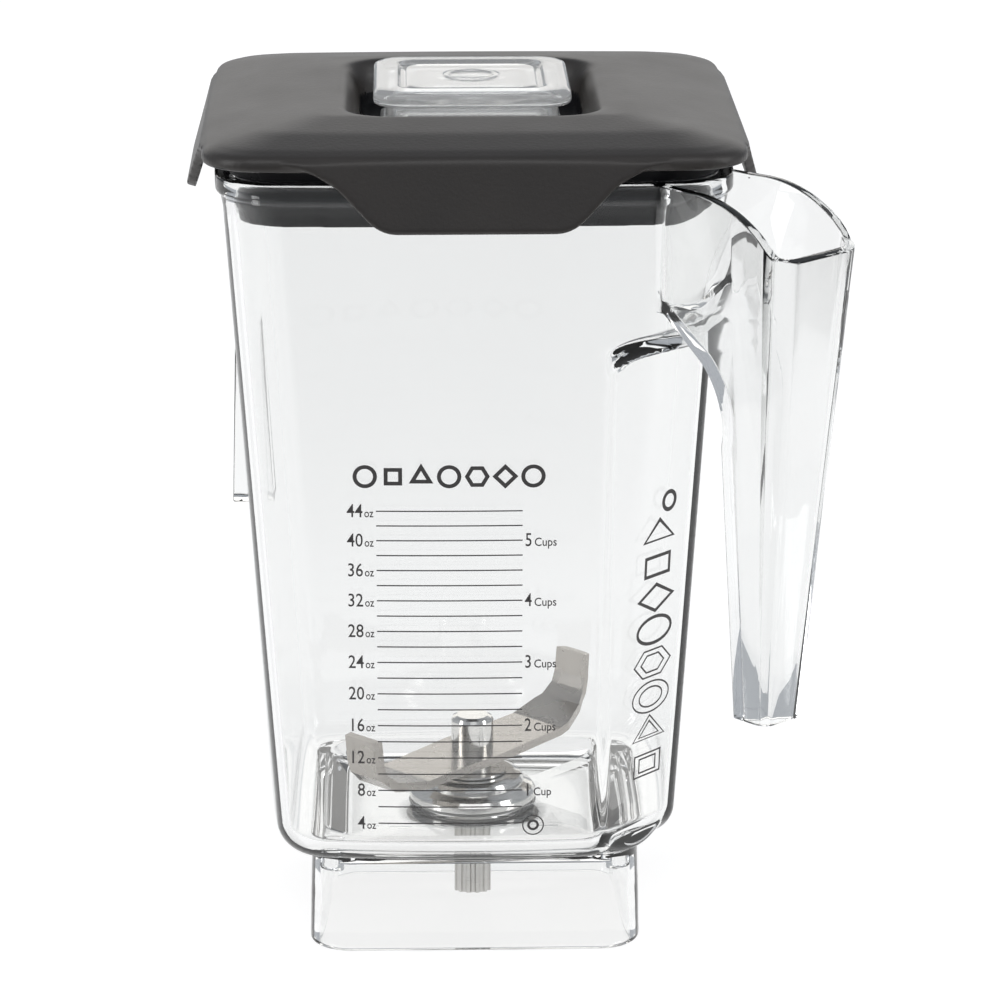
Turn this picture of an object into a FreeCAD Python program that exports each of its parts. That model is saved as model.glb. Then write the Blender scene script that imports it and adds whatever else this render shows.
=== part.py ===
"""Blender jar: clear five-sided jar with hollow handle, blade rotor on two ball bearings, lid and cap.

Millimetres. The origin is on the drive axis at the height of the skirt's bottom edge, +Z is up,
-Y is the front with the graduations, and the handle points to front right.
"""
import FreeCAD, Part
import Sketcher
import math
import os
from FreeCAD import Placement, Rotation, Vector

doc = FreeCAD.newDocument("blender_jar")
sheet = doc.addObject("Spreadsheet::Sheet", "dims")

DIMENSIONS = {
    # jar: skirt under the floor
    "skirt_half": 47.5,
    "skirt_top_half": 46.8,
    "skirt_corner": 12.0,
    "skirt_wall": 3.0,
    # jar: vessel above the floor
    "floor_under": 26.3,
    "floor_top": 29.8,
    "vessel_under": 29.6,
    "vessel_bottom_half": 58.3,
    "vessel_top_half": 70.4,
    "vessel_bottom_corner": 15.0,
    "vessel_top_corner": 20.0,
    "vessel_bottom_bow": 2.5,
    "vessel_top_bow": 1.2,
    "vessel_bottom_fillet": 8.5,
    "cavity_bottom_fillet": 6.0,
    "wall": 3.5,
    "rim_top": 229.0,
    "rim_band": 5.5,
    "rim_half": 71.8,
    "rim_corner": 21.5,
    "rim_step": 1.2,
    # jar: fifth side, a flat panel that leans outward by panel_slope under a shallow arch
    "panel_angle": -42.0,
    "panel_bottom_distance": 64.6,
    "panel_slope": 0.053,
    "panel_centre": -3.0,
    "panel_half": 26.0,
    "panel_spring": 160.0,
    "panel_shoulder_half": 20.5,
    "panel_shoulder": 176.0,
    "panel_crown_half": 11.0,
    "panel_crown": 180.0,
    "panel_arch_top": 181.0,
    # jar: handle, measured outward along the front right diagonal
    "handle_bottom": 81.5,
    "handle_inner": 106.8,
    "handle_bottom_outer": 119.4,
    "handle_top_outer": 131.6,
    "handle_bottom_half": 8.1,
    "handle_top_half": 17.8,
    "handle_splay": 0.06,
    "handle_bottom_corner": 4.5,
    "handle_top_corner": 8.0,
    "handle_outer_top": 213.6,
    "handle_wall": 3.0,
    "handle_root": 60.0,
    # jar: hub boss and stacking lug
    "boss_radius": 15.5,
    "boss_bottom": 24.0,
    "pedestal_radius": 18.3,
    "pedestal_top": 30.3,
    "lug_bottom": 122.6,
    "lug_top": 175.0,
    "lug_width": 14.0,
    "lug_depth": 4.4,
    # bearing housing, gasket and dome
    "housing_radius": 11.0,
    "housing_lip": 7.0,
    "flange_radius": 17.0,
    "flange_bottom": 31.3,
    "flange_thick": 1.5,
    "nose_radius": 12.6,
    "nose_top": 37.6,
    "dome_radius": 18.5,
    "dome_hat_radius": 14.9,
    "dome_top": 38.5,
    "dome_hole": 6.4,
    "sheet_thick": 1.0,
    # bearings
    "bearing_bore": 4.0,
    "bearing_outer": 8.0,
    "bearing_width": 4.0,
    "bearing_shoulder": 25.2,
    "race_land_inner": 5.3,
    "race_land_outer": 6.7,
    "pitch_radius": 6.0,
    "ball_radius": 1.0,
    "groove_clearance": 0.03,
    "pocket_radius": 1.12,
    "cage_half": 0.4,
    "spacer_width": 1.0,
    "shield_thick": 0.25,
    # seal
    "ring_thick": 0.8,
    "seal_height": 2.4,
    "seal_clearance": 0.05,
    # rotor
    "shaft_radius": 4.0,
    "spline_radius": 5.4,
    "spline_bottom": 3.5,
    "flute_radius": 0.85,
    "collar_radius": 5.4,
    "slinger_radius": 9.9,
    "slinger_bottom": 38.8,
    "slinger_thick": 0.6,
    "blade_bottom": 43.4,
    "blade_thick": 2.5,
    "blade_blank_width": 40.0,
    "blade_blank_height": 160.0,
    "cap_nut_radius": 6.2,
    "cap_nut_height": 10.1,
    # lid
    "lip_half": 75.0,
    "lip_bottom": 233.5,
    "crown_top": 242.9,
    "lid_corner": 16.0,
    "lid_bow": 1.2,
    "lid_wall": 3.0,
    "plug_bottom": 217.0,
    "plug_gap": 0.9,
    "ridge_gap": 0.3,
    "recess_floor": 231.0,
    "recess_half_width": 33.0,
    "recess_front": 40.5,
    "recess_back": 36.5,
    "recess_corner": 11.0,
    "recess_foot": 2.5,
    "recess_rise": 8.0,
    "recess_flare": 3.5,
    "flap_bottom": 218.0,
    "side_flap_bottom": 219.6,
    "flap_flare": 5.0,
    "flap_thick": 2.8,
    # centre cap
    "cap_half": 27.6,
    "cap_top": 246.0,
    "cap_plate": 4.6,
    "cap_neck_half": 23.9,
    "cap_neck_bottom": 226.5,
    "cap_bead_half": 25.6,
    "cap_corner": 8.0,
    "cap_corner_less": 2.0,
    "cap_wall": 2.6,
    "cap_fit": 0.4,
    "cap_bead_height": 1.4,
    "cap_edge_round": 1.6,
    "cap_inner_corner": 3.5,
}

BALLS = 9
FLUTES = 12

# plain lengths that drive nothing else
BEYOND = 1.0
SINK = 0.2
TRAY_DROP = 7.0
TRAY_CORNER_LESS = 4.0
TRAY_OVERLAP = 0.5
PANEL_REACH = 60.0
HANDLE_SIDE_HALF = 20.0
CHANNEL_BELOW = 5.0
CHANNEL_ABOVE = 20.0
WEDGE_ABOVE = 5.0
LUG_ROOT = 1.5
PAD_RADIUS = 3.0
PAD_DEPTH = 3.0
PAD_INSET = 3.5
SKIRT_INTO_VESSEL = 4.0


class Size:
    """A driving dimension, or arithmetic on some: its value and the sheet expression that gives it."""

    def __init__(self, value, text):
        self.value = value
        self.text = text

    def _with(self, other, sign, value):
        other_text = other.text if isinstance(other, Size) else repr(other)
        return Size(value, f"({self.text} {sign} {other_text})")

    def __float__(self):
        return float(self.value)

    def __add__(self, other):
        return self._with(other, "+", self.value + float(other))

    def __sub__(self, other):
        return self._with(other, "-", self.value - float(other))

    def __mul__(self, other):
        return self._with(other, "*", self.value * float(other))

    def __truediv__(self, other):
        return self._with(other, "/", self.value / float(other))

    def __neg__(self):
        return Size(-self.value, f"(-1 * {self.text})")


class Sizes:
    """Every driving dimension as an attribute."""


d = Sizes()
for row, (alias, number) in enumerate(DIMENSIONS.items(), start=1):
    sheet.set(f"A{row}", alias)
    sheet.set(f"B{row}", str(number))
    sheet.setAlias(f"B{row}", alias)
    setattr(d, alias, Size(number, f"dims.{alias}"))
doc.recompute()

pieces = []


def piece(obj, label):
    """Name an object as one of the jar's sub-parts."""
    obj.Label = label
    pieces.append(obj)
    return obj


def bind(obj, **sizes):
    """Bind properties to the sheet. In a name, two underscores stand for a dot."""
    for prop, size in sizes.items():
        path = prop.replace("__", ".")
        text = size.text if isinstance(size, Size) else repr(size)
        obj.setExpression(path, text)
    return obj


# ---------------------------------------------------------------- Part workbench helpers


def cylinder(name, radius, bottom, height):
    obj = doc.addObject("Part::Cylinder", name)
    return bind(obj, Radius=radius, Height=height, Placement__Base__z=bottom)


def torus(name, ring_radius, tube_radius, height):
    obj = doc.addObject("Part::Torus", name)
    return bind(obj, Radius1=ring_radius, Radius2=tube_radius, Placement__Base__z=height)


def cut(name, base, *tools):
    result = base
    for index, tool in enumerate(tools):
        step = doc.addObject("Part::Cut", f"{name}_cut{index}")
        step.Base = result
        step.Tool = tool
        result = step
    return result


def fuse(name, *shapes):
    obj = doc.addObject("Part::MultiFuse", name)
    obj.Shapes = list(shapes)
    return obj


def at_angle(obj, radius, degrees):
    """Place an object at a radius and an angle about the drive axis."""
    obj.setExpression("Placement.Base.x", f"{radius.text} * cos({degrees})")
    obj.setExpression("Placement.Base.y", f"{radius.text} * sin({degrees})")


def ring(name, outer, inner, bottom, height):
    """A plain ring about the drive axis."""
    return cut(name, cylinder(f"{name}_outer", outer, bottom, height),
               cylinder(f"{name}_inner", inner, bottom, height))


# ---------------------------------------------------------------- PartDesign helpers


def origin_plane(body, role):
    return next(item for item in body.Origin.OriginFeatures if item.Role == role)


def outline_sketch(body, name, role, points):
    """A closed polygon sketch whose every corner is bound to the sheet."""
    sketch = body.newObject("Sketcher::SketchObject", name)
    sketch.AttachmentSupport = (origin_plane(body, role), [""])
    sketch.MapMode = "FlatFace"
    corners = [Vector(float(a), float(b), 0) for a, b in points]
    count = len(corners)
    for i in range(count):
        sketch.addGeometry(Part.LineSegment(corners[i], corners[(i + 1) % count]))
    for i in range(count):
        sketch.addConstraint(Sketcher.Constraint("Coincident", i, 2, (i + 1) % count, 1))
    for i, (a, b) in enumerate(points):
        for kind, size in (("DistanceX", a), ("DistanceY", b)):
            index = sketch.addConstraint(Sketcher.Constraint(kind, -1, 1, i, 1, float(size)))
            if isinstance(size, Size):
                sketch.setExpression(f"Constraints[{index}]", size.text)
    return sketch


def turned(label, points):
    """A PartDesign body made by turning an outline of (radius, height) corners about the drive axis."""
    body = doc.addObject("PartDesign::Body", f"{label}_body")
    sketch = outline_sketch(body, f"{label}_profile", "XZ_Plane", points)
    turn = body.newObject("PartDesign::Revolution", f"{label}_turn")
    turn.Profile = sketch
    turn.ReferenceAxis = (sketch, ["V_Axis"])
    turn.Angle = 360
    body.Tip = turn
    return body


def padded(label, role, points, length):
    """A PartDesign body padded to both sides of an origin plane."""
    body = doc.addObject("PartDesign::Body", f"{label}_body")
    sketch = outline_sketch(body, f"{label}_outline", role, points)
    pad = body.newObject("PartDesign::Pad", f"{label}_pad")
    pad.Profile = sketch
    pad.Midplane = True
    bind(pad, Length=length)
    body.Tip = pad
    return body


# ---------------------------------------------------------------- rounded-square sections


def section(half, corner, bow, height):
    """A closed wire at a height: a square with bowed sides and round corners tangent to them."""
    chord = half - corner
    side_radius = (chord * chord + bow * bow) / (2 * bow)
    side_centre = side_radius - half
    reach = side_radius - corner
    diagonal = (math.sqrt(2 * reach * reach - side_centre * side_centre) - side_centre) / 2
    angle = math.atan2(diagonal, diagonal + side_centre)
    start = Vector(side_radius * math.sin(angle), side_centre - side_radius * math.cos(angle), 0)
    edges = []
    for turn in range(4):
        spin = Rotation(Vector(0, 0, 1), 90 * turn)
        lift = Vector(0, 0, height)
        left = spin.multVec(Vector(-start.x, start.y, 0)) + lift
        middle = spin.multVec(Vector(0, -half, 0)) + lift
        right = spin.multVec(start) + lift
        tip = diagonal + corner / math.sqrt(2)
        round_middle = spin.multVec(Vector(tip, -tip, 0)) + lift
        next_left = spin.multVec(Vector(-start.y, -start.x, 0)) + lift
        edges.append(Part.Arc(left, middle, right).toShape())
        edges.append(Part.Arc(right, round_middle, next_left).toShape())
    return Part.Wire(edges)


def straight_section(half_x, half_y, corner, height, centre=Vector(0, 0, 0)):
    """A closed wire at a height: a rectangle with straight sides and round corners."""
    inset = corner * (1 - math.sqrt(0.5))
    edges = []
    quadrants = [(1, -1), (1, 1), (-1, 1), (-1, -1)]
    lift = Vector(0, 0, height) + centre
    arcs = []
    for sign_x, sign_y in quadrants:
        side_end = Vector(sign_x * half_x, sign_y * (half_y - corner), 0) + lift
        front_end = Vector(sign_x * (half_x - corner), sign_y * half_y, 0) + lift
        middle = Vector(sign_x * (half_x - inset), sign_y * (half_y - inset), 0) + lift
        ends = (front_end, side_end) if sign_x * sign_y < 0 else (side_end, front_end)
        arcs.append((ends[0], middle, ends[1]))
    for index, (first, middle, last) in enumerate(arcs):
        edges.append(Part.Arc(first, middle, last).toShape())
        edges.append(Part.LineSegment(last, arcs[(index + 1) % 4][0]).toShape())
    return Part.Wire(edges)


def outward(solid):
    """The same solid with its faces turned outward, so that booleans take it the right way round."""
    if solid.Volume < 0:
        solid.reverse()
    return solid


def loft(*wires):
    """A solid with ruled sides through closed wires."""
    return outward(Part.makeLoft(list(wires), True, True))


def prism(edges, direction):
    """A solid made by extruding a closed flat outline of edges along a vector."""
    return outward(Part.Face(Part.Wire(edges)).extrude(direction))


def lines(*points):
    """The straight edges of an open outline through points."""
    return [Part.LineSegment(a, b).toShape() for a, b in zip(points, points[1:])]


# ---------------------------------------------------------------- jar vessel


def vessel_share(height):
    """0 at the vessel's underside, 1 at the rim."""
    return (height - float(d.vessel_under)) / (float(d.rim_top) - float(d.vessel_under))


def vessel_section(height, inset=0.0):
    """The vessel's section at a height, drawn in by an inset."""
    share = vessel_share(height)
    half = float(d.vessel_bottom_half) + share * float(d.vessel_top_half - d.vessel_bottom_half)
    corner = float(d.vessel_bottom_corner) + share * float(d.vessel_top_corner - d.vessel_bottom_corner)
    bow = float(d.vessel_bottom_bow) + share * float(d.vessel_top_bow - d.vessel_bottom_bow)
    return section(half - inset, corner - inset, bow, height)


def panel_tool(offset):
    """The space outside the fifth side, moved inward by an offset, under its arch."""
    angle = math.radians(float(d.panel_angle))
    away = Vector(math.cos(angle), math.sin(angle), 0)
    along = Vector(-math.sin(angle), math.cos(angle), 0)
    below = 0.0

    def at(sideways, height):
        rise = height - float(d.vessel_under)
        distance = float(d.panel_bottom_distance) + float(d.panel_slope) * rise - offset
        return away * distance + along * (float(d.panel_centre) + sideways) + Vector(0, 0, height)

    half = float(d.panel_half) + offset
    shoulder_half = float(d.panel_shoulder_half) + offset
    shoulder = float(d.panel_shoulder) + offset
    crown_half = float(d.panel_crown_half) + offset
    crown = float(d.panel_crown) + offset
    spring = float(d.panel_spring)
    edges = [
        Part.LineSegment(at(-half, below), at(half, below)).toShape(),
        Part.LineSegment(at(half, below), at(half, spring)).toShape(),
        Part.Arc(at(half, spring), at(shoulder_half, shoulder), at(crown_half, crown)).toShape(),
        Part.Arc(at(crown_half, crown), at(0, float(d.panel_arch_top) + offset),
                 at(-crown_half, crown)).toShape(),
        Part.Arc(at(-crown_half, crown), at(-shoulder_half, shoulder), at(-half, spring)).toShape(),
        Part.LineSegment(at(-half, spring), at(-half, below)).toShape(),
    ]
    return prism(edges, away * PANEL_REACH)


def bottom_edges(shape, height):
    return [e for e in shape.Edges
            if abs(e.BoundBox.ZMin - height) < 0.01 and abs(e.BoundBox.ZMax - height) < 0.01]


def vessel_outside():
    under = float(d.vessel_under)
    solid = loft(vessel_section(under), vessel_section(float(d.rim_top))).cut(panel_tool(0))
    return solid.makeFillet(float(d.vessel_bottom_fillet), bottom_edges(solid, under))


def vessel_cavity():
    """The room inside, with a shallow tray where the floor dips to the hub."""
    low = float(d.floor_top) + float(d.wall)
    solid = loft(vessel_section(low, float(d.wall)), vessel_section(float(d.rim_top) + BEYOND, float(d.wall)))
    solid = solid.cut(panel_tool(float(d.wall)))
    solid = solid.makeFillet(float(d.cavity_bottom_fillet), bottom_edges(solid, low))
    tray_half = float(d.skirt_top_half) - float(d.skirt_wall)
    corner = float(d.skirt_corner)
    bottom_half = tray_half - TRAY_DROP
    tray = loft(straight_section(bottom_half, bottom_half, corner - TRAY_CORNER_LESS, float(d.floor_top)),
                straight_section(tray_half, tray_half, corner, low + TRAY_OVERLAP))
    return solid.fuse(tray.cut(panel_tool(float(d.wall))))


def handle_frame():
    """The handle's own frame: X outward along the jar's front right diagonal, Y across, Z up."""
    return Placement(Vector(0, 0, 0), Rotation(Vector(0, 0, 1), -45))


def rounded_corner(corner, one_way, other_way, radius):
    """The arc that rounds a corner between two unit directions that lead away from it."""
    half_angle = one_way.getAngle(other_way) / 2
    reach = radius / math.tan(half_angle)
    bisector = (one_way + other_way).normalize()
    middle = corner + bisector * (radius / math.sin(half_angle) - radius)
    return Part.Arc(corner + one_way * reach, middle, corner + other_way * reach).toShape()


def handle_wedge(inset, bottom, top):
    """The handle's plan between two heights, drawn in by an inset: narrower towards the jar and the foot."""
    root = float(d.handle_root)

    def wire(height):
        share = (height - float(d.handle_bottom)) / float(d.rim_top - d.handle_bottom)
        half = float(d.handle_bottom_half) + share * float(d.handle_top_half - d.handle_bottom_half)
        outer = float(d.handle_bottom_outer) + share * float(d.handle_top_outer - d.handle_bottom_outer)
        radius = float(d.handle_bottom_corner)
        radius += share * float(d.handle_top_corner - d.handle_bottom_corner)
        root_half = half - float(d.handle_splay) * (outer - root) - inset
        near = Vector(outer - inset, inset - half, height)
        far = Vector(outer - inset, half - inset, height)
        near_root = Vector(root, -root_half, height)
        far_root = Vector(root, root_half, height)
        across = Vector(0, 1, 0)
        near_round = rounded_corner(near, (near_root - near).normalize(), across, radius - inset)
        far_round = rounded_corner(far, -across, (far_root - far).normalize(), radius - inset)
        return Part.Wire(
            lines(near_root, near_round.firstVertex().Point) + [near_round]
            + lines(near_round.lastVertex().Point, far_round.firstVertex().Point) + [far_round]
            + lines(far_round.lastVertex().Point, far_root, near_root))

    return loft(wire(bottom), wire(top))


# corners of the handle's side view as (distance out along the diagonal, height above or below a level)
HANDLE_CREST = (97.0, 0.0)
HANDLE_BROW = (109.0, -1.94)
HANDLE_NOSE = (121.0, -8.5)
HANDLE_SHOULDER = (125.5, 2.0)
HANDLE_FAR = (140.0, -1.0)
WEB_START = (-1.9, 159.5)
WEB_BEND = (-5.0, 177.5)
WEB_KNEE = (98.2, 182.0)
WEB_END = (84.4, 193.0)


def handle_profile(inset, bottom, top_extra):
    """The handle's side view as a wide solid. The inset moves the web outward into the channel."""
    inner = float(d.handle_inner) + inset
    rim = float(d.rim_top) + top_extra
    outer_top = float(d.handle_outer_top) + top_extra
    root = float(d.handle_root)

    def at(out, height):
        return Vector(out, -HANDLE_SIDE_HALF, height)

    def from_level(corner, level):
        out, above = corner
        return at(out, level + above)

    crest = from_level(HANDLE_CREST, rim)
    nose = from_level(HANDLE_NOSE, rim)
    shoulder = from_level(HANDLE_SHOULDER, outer_top)
    far = from_level(HANDLE_FAR, outer_top)
    far_foot = at(HANDLE_FAR[0], bottom)
    web_start = at(inner + WEB_START[0], WEB_START[1])
    web_bend = at(inner + WEB_BEND[0], WEB_BEND[1] + inset / 2)
    web_knee = at(WEB_KNEE[0] + inset / 2, WEB_KNEE[1] + inset)
    web_end = at(WEB_END[0], WEB_END[1] + inset)
    edges = lines(at(root, rim), crest)
    edges.append(Part.Arc(crest, from_level(HANDLE_BROW, rim), nose).toShape())
    edges += lines(nose, shoulder, far, far_foot, at(inner, bottom), web_start)
    edges.append(Part.Arc(web_start, web_bend, web_knee).toShape())
    edges += lines(web_knee, web_end, at(root, web_end.z), at(root, rim))
    return prism(edges, Vector(0, 2 * HANDLE_SIDE_HALF, 0))


def handle():
    """A tapered tube open at the top and bottom, joined to the jar by its two side walls and web."""
    wall = float(d.handle_wall)
    bottom = float(d.handle_bottom)
    top = float(d.rim_top)
    foot = bottom - CHANNEL_BELOW
    outside = handle_profile(0, bottom, 0).common(handle_wedge(0, bottom, top + WEDGE_ABOVE))
    channel = handle_profile(wall, foot, CHANNEL_ABOVE)
    channel = channel.common(handle_wedge(wall, foot, top + CHANNEL_ABOVE + WEDGE_ABOVE))
    solid = outside.cut(channel)
    solid.transformShape(handle_frame().toMatrix())
    return solid


def stacking_lug():
    """A wedge on the left wall that ends in a flat shoulder."""
    low = float(d.lug_bottom)
    high = float(d.lug_top)
    half = float(d.lug_width) / 2

    def wall_x(height):
        grow = float(d.vessel_top_half - d.vessel_bottom_half)
        return -(float(d.vessel_bottom_half) + vessel_share(height) * grow)

    depth = float(d.lug_depth)
    foot = Vector(wall_x(low) + LUG_ROOT, -half, low)
    shoulder = Vector(wall_x(low) - depth, -half, low)
    tip = Vector(wall_x(high) - SINK, -half, high)
    back = Vector(wall_x(high) + LUG_ROOT, -half, high)
    return prism(lines(foot, shoulder, tip, back, foot), Vector(0, 2 * half, 0))


def skirt_pads():
    """Four small pads under the floor at the skirt's inner corners."""
    offset = float(d.skirt_top_half) - float(d.skirt_wall) - PAD_INSET
    bottom = float(d.floor_under) - PAD_DEPTH
    pads = []
    for x in (-offset, offset):
        for y in (-offset, offset):
            pads.append(Part.makeCylinder(PAD_RADIUS, PAD_DEPTH + SINK, Vector(x, y, bottom)))
    return pads


def jar_shape():
    skirt_top = float(d.vessel_under) + SKIRT_INTO_VESSEL
    corner = float(d.skirt_corner)
    wall = float(d.skirt_wall)
    half = float(d.skirt_half)
    top_half = float(d.skirt_top_half)
    skirt = loft(straight_section(half, half, corner, 0),
                 straight_section(top_half, top_half, corner, skirt_top))
    room = loft(straight_section(half - wall, half - wall, corner - wall, -BEYOND),
                straight_section(top_half - wall, top_half - wall, corner - wall, float(d.floor_under)))
    rim_low = float(d.rim_top - d.rim_band)
    rim_half = float(d.rim_half)
    rim_corner = float(d.rim_corner)
    rim_bow = float(d.vessel_top_bow)
    step = float(d.rim_step)
    rim = loft(section(rim_half - step, rim_corner - step, rim_bow, rim_low),
               section(rim_half, rim_corner, rim_bow, rim_low + step),
               section(rim_half, rim_corner, rim_bow, float(d.rim_top)))
    boss = Part.makeCylinder(float(d.boss_radius), float(d.floor_top - d.boss_bottom),
                             Vector(0, 0, float(d.boss_bottom)))
    pedestal = Part.makeCylinder(float(d.pedestal_radius), float(d.pedestal_top - d.floor_under),
                                 Vector(0, 0, float(d.floor_under)))
    bore = Part.makeCylinder(float(d.housing_radius), float(d.pedestal_top) + BEYOND)
    shell = vessel_outside().multiFuse([skirt, rim, handle(), stacking_lug()])
    shell = shell.cut(vessel_cavity()).cut(room)
    shell = shell.multiFuse([boss, pedestal] + skirt_pads())
    return shell.cut(bore).removeSplitter()


jar = doc.addObject("Part::Feature", "jar_moulding")
jar.Shape = jar_shape()
piece(jar, "jar_vessel")

# ---------------------------------------------------------------- bearing housing, gasket and dome

flange_top = d.flange_bottom + d.flange_thick
housing = turned("bearing_housing", [
    (d.housing_lip, d.boss_bottom),
    (d.housing_radius, d.boss_bottom),
    (d.housing_radius, d.flange_bottom),
    (d.flange_radius, d.flange_bottom),
    (d.flange_radius, flange_top),
    (d.nose_radius, flange_top),
    (d.nose_radius, d.nose_top - 2),
    (d.nose_radius - 2.4, d.nose_top),
    (d.bearing_outer, d.nose_top),
    (d.bearing_outer, d.bearing_shoulder),
    (d.housing_lip, d.bearing_shoulder),
])
piece(housing, "bearing_housing")

piece(ring("housing_gasket", d.flange_radius + 0.8, d.housing_radius, d.pedestal_top,
           d.flange_bottom - d.pedestal_top), "housing_gasket")

dome = turned("dome_cover", [
    (d.dome_radius - d.sheet_thick, d.flange_bottom + 0.1),
    (d.dome_radius, d.flange_bottom + 0.1),
    (d.dome_radius, flange_top + 0.3),
    (d.dome_radius - 0.9, flange_top + 1.5),
    (d.dome_hat_radius, flange_top + 2.7),
    (d.dome_hat_radius, d.dome_top - 1.9),
    (d.dome_hat_radius - 0.8, d.dome_top - 0.7),
    (d.dome_hat_radius - 2.6, d.dome_top),
    (d.dome_hole, d.dome_top),
    (d.dome_hole, d.dome_top - 0.8),
    (d.dome_hat_radius - 3.0, d.dome_top - 0.8),
    (d.dome_hat_radius - 1.5, d.dome_top - 1.4),
    (d.dome_hat_radius - 0.9, d.dome_top - 2.2),
    (d.dome_hat_radius - 0.9, flange_top + 2.0),
    (d.dome_radius - 1.8, flange_top + 0.8),
    (d.dome_radius - d.sheet_thick, flange_top + 0.1),
])
piece(dome, "dome_cover")

# ---------------------------------------------------------------- ball bearings


def bearing(side, bottom):
    """One ball bearing whose lower face is at the given height."""
    middle = bottom + d.bearing_width / 2
    groove_radius = d.ball_radius + d.groove_clearance
    for name, outer, inner in (("outer", d.bearing_outer, d.race_land_outer),
                               ("inner", d.race_land_inner, d.bearing_bore)):
        blank = ring(f"{side}_{name}_blank", outer, inner, bottom, d.bearing_width)
        groove = torus(f"{side}_{name}_groove", d.pitch_radius, groove_radius, middle)
        piece(cut(f"{side}_{name}_race", blank, groove), f"{side}_{name}_race")
    cage_reach = d.ball_radius + d.cage_half
    cage_blank = ring(f"{side}_cage_blank", d.pitch_radius + d.cage_half, d.pitch_radius - d.cage_half,
                      middle - cage_reach, cage_reach * 2)
    balls = []
    pockets = []
    for index in range(BALLS):
        spin = 360.0 * index / BALLS
        ball = doc.addObject("Part::Sphere", f"{side}_ball{index}")
        bind(ball, Radius=d.ball_radius, Placement__Base__z=middle)
        at_angle(ball, d.pitch_radius, spin)
        balls.append(ball)
        pocket = cylinder(f"{side}_pocket{index}", d.pocket_radius, middle, d.ball_radius * 2)
        pocket.Placement.Rotation = Rotation(Vector(0, 0, 1), spin) * Rotation(Vector(0, 1, 0), 90)
        at_angle(pocket, d.pitch_radius - d.ball_radius, spin)
        pockets.append(pocket)
    ball_set = doc.addObject("Part::Compound", f"{side}_ball_set")
    ball_set.Links = balls
    piece(ball_set, f"{side}_balls")
    piece(cut(f"{side}_cage", cage_blank, fuse(f"{side}_pockets", *pockets)), f"{side}_cage")
    return [ring(f"{side}_shield{index}", d.race_land_outer, d.race_land_inner + 0.2, height,
                 d.shield_thick)
            for index, height in enumerate((bottom, bottom + d.bearing_width - d.shield_thick))]


lower_bearing = d.bearing_shoulder
spacer_bottom = lower_bearing + d.bearing_width
upper_bearing = spacer_bottom + d.spacer_width
upper_bearing_top = upper_bearing + d.bearing_width
shield_rings = bearing("lower", lower_bearing) + bearing("upper", upper_bearing)
shields = doc.addObject("Part::Compound", "shield_set")
shields.Links = shield_rings
piece(shields, "bearing_shields")
piece(ring("outer_spacer", d.bearing_outer, d.race_land_outer, spacer_bottom, d.spacer_width),
      "outer_spacer")
piece(ring("inner_spacer", d.race_land_inner, d.bearing_bore, spacer_bottom, d.spacer_width),
      "inner_spacer")

# ---------------------------------------------------------------- retaining ring and shaft seal

ring_top = upper_bearing_top + d.ring_thick
seal_top = ring_top + d.seal_height
piece(ring("retaining_ring", d.bearing_outer, d.race_land_outer - 0.1, upper_bearing_top, d.ring_thick),
      "retaining_ring")
seal_case = turned("seal_case", [
    (d.bearing_outer - 0.6, ring_top),
    (d.bearing_outer, ring_top),
    (d.bearing_outer, seal_top),
    (d.collar_radius + 0.9, seal_top),
    (d.collar_radius + 0.9, seal_top - 0.5),
    (d.bearing_outer - 0.6, seal_top - 0.5),
])
piece(seal_case, "seal_case")
seal_lip = turned("seal_lip", [
    (d.collar_radius + 0.4, ring_top + 0.3),
    (d.bearing_outer - 0.6, ring_top + 0.3),
    (d.bearing_outer - 0.6, seal_top - 0.5),
    (d.collar_radius + 0.9, seal_top - 0.5),
    (d.collar_radius + d.seal_clearance, seal_top - 1.0),
    (d.collar_radius + d.seal_clearance, seal_top - 1.4),
])
piece(seal_lip, "seal_lip")

# ---------------------------------------------------------------- rotor


def drive_shaft():
    """A round shaft whose lower end is a spline with round flutes."""
    shaft_top = d.blade_bottom + d.blade_thick + d.cap_nut_height / 2
    shaft = cylinder("shaft_rod", d.shaft_radius, d.spline_bottom, shaft_top - d.spline_bottom)
    spline = cylinder("spline_blank", d.spline_radius, d.spline_bottom,
                      d.bearing_shoulder - d.spline_bottom)
    flutes = []
    for index in range(FLUTES):
        spin = 360.0 * index / FLUTES
        flute = cylinder(f"flute{index}", d.flute_radius, d.spline_bottom, d.boss_bottom - d.spline_bottom)
        at_angle(flute, d.spline_radius, spin)
        flutes.append(flute)
    blank = fuse("shaft_blank", shaft, spline)
    return cut("drive_shaft", blank, fuse("flute_set", *flutes))


piece(drive_shaft(), "drive_shaft")

piece(ring("blade_collar", d.collar_radius, d.shaft_radius, upper_bearing_top,
           d.blade_bottom - upper_bearing_top), "blade_collar")
piece(ring("slinger", d.slinger_radius, d.collar_radius, d.slinger_bottom, d.slinger_thick), "slinger")

cap_nut_bottom = d.blade_bottom + d.blade_thick
cap_nut_top = cap_nut_bottom + d.cap_nut_height
nut_bore_top = cap_nut_bottom + d.cap_nut_height / 2
shaft_cap = turned("shaft_cap", [
    (d.shaft_radius, cap_nut_bottom),
    (d.cap_nut_radius, cap_nut_bottom),
    (d.cap_nut_radius, cap_nut_top - 1.6),
    (d.cap_nut_radius - 0.5, cap_nut_top - 0.6),
    (d.cap_nut_radius - 1.6, cap_nut_top - 0.1),
    (Size(0.0, "0"), cap_nut_top),
    (Size(0.0, "0"), nut_bore_top),
    (d.shaft_radius, nut_bore_top),
])
piece(shaft_cap, "shaft_cap")

BLADE_ANGLE = 45.0
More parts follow.
